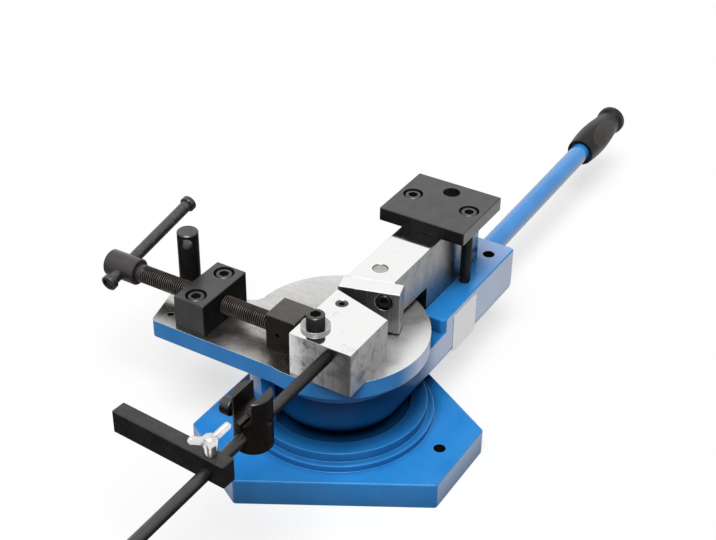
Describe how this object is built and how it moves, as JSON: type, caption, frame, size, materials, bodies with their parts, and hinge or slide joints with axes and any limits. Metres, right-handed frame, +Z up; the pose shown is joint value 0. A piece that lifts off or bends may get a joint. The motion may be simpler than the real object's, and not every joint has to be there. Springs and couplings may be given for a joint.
{
  "type": "manual bending machine",
  "caption": "Bench-mounted hand bender: a long lever swings a bending bar past a fixed former, with a screw clamp for the stock and an adjustable length stop on a rod.",
  "frame": {"origin": "on the pivot axis of the swing arm, at the underside of the base, in the middle of the bench bolt circle", "axes": "+X along the clamp screw towards the former, +Y along the handle at rest, +Z up"},
  "size_m": [0.4109, 1.1726, 0.2226],
  "materials": {
    "blue_enamel": "glossy enamel on cast iron",
    "ground_steel": "ground, faintly brushed",
    "black_oxide": "satin black oxide",
    "bright_zinc": "bright zinc plate",
    "grip_rubber": "moulded matte rubber",
    "bronze": "machined bronze"
  },
  "bodies": {
    "frame": {"base_plate": "blue_enamel", "table": "blue_enamel", "leg_screws": "black_oxide", "spindle": "ground_steel", "spindle_washer": "black_oxide", "spindle_nut": "black_oxide", "thrust_washers": "bronze", "former_block": "ground_steel", "former_washer": "bright_zinc", "former_screw": "black_oxide", "former_grub": "black_oxide", "bracket": "black_oxide", "bracket_screws": "black_oxide", "stop_rod": "black_oxide"},
    "swing_arm": {"swing_arm": "blue_enamel", "hub_bush": "bronze", "bending_bar": "ground_steel", "bar_dowel": "ground_steel", "bending_plate": "ground_steel", "plate_screws": "black_oxide", "clamp_plate": "black_oxide", "clamp_plate_screws": "black_oxide", "handle_tube": "blue_enamel", "handle_grip": "grip_rubber"},
    "jaw": {"jaw": "black_oxide", "jaw_grub": "black_oxide"},
    "clamp_screw": {"clamp_screw": "black_oxide"},
    "tbar": {"tbar": "black_oxide", "tbar_caps": "black_oxide"},
    "upright_pin": {"upright_pin": "black_oxide"},
    "vee_post": {"vee_post": "black_oxide"},
    "post_screw": {"post_screw": "black_oxide"},
    "stop_bar": {"stop_bar": "black_oxide"},
    "wing_screw": {"wing_screw": "bright_zinc"}
  },
  "joints": [
    {"name": "arm_swing", "type": "hinge", "parent": "frame", "child": "swing_arm", "pos_m": [0, 0, 0.075], "axis": [0, 0, 1], "range_deg": [-30, 82]},
    {"name": "jaw_slide", "type": "slide", "parent": "frame", "child": "jaw", "axis": [1, 0, 0], "range_m": [-0.0601, 0.00905]},
    {"name": "screw_spin", "type": "hinge", "parent": "jaw", "child": "clamp_screw", "pos_m": [-0.241, -0.05215, 0.1605], "axis": [1, 0, 0], "range_deg": [-8640, 1296]},
    {"name": "tbar_slide", "type": "slide", "parent": "clamp_screw", "child": "tbar", "axis": [0, 0.9826, 0.1857], "range_m": [-0.0982, 0.0081]},
    {"name": "pin_lift", "type": "slide", "parent": "frame", "child": "upright_pin", "axis": [0, 0, 1], "range_m": [0, 0.02]},
    {"name": "post_slide", "type": "slide", "parent": "frame", "child": "vee_post", "axis": [0, 1, 0], "range_m": [-0.012, 0.105]},
    {"name": "post_screw_turn", "type": "hinge", "parent": "vee_post", "child": "post_screw", "pos_m": [0.0443, -0.2187, 0.1932], "axis": [1, 0, 0], "range_deg": [-720, 0]},
    {"name": "stop_slide", "type": "slide", "parent": "frame", "child": "stop_bar", "axis": [0, 1, 0], "range_m": [-0.16, 0.012]},
    {"name": "wing_turn", "type": "hinge", "parent": "stop_bar", "child": "wing_screw", "pos_m": [0.0443, -0.2829, 0.179], "axis": [0, 0, 1], "range_deg": [0, 720]}
  ],
  "couplings": [
    {"joint": "jaw_slide", "follows": "screw_spin", "m_per_rad": 0.00039789}
  ]
}
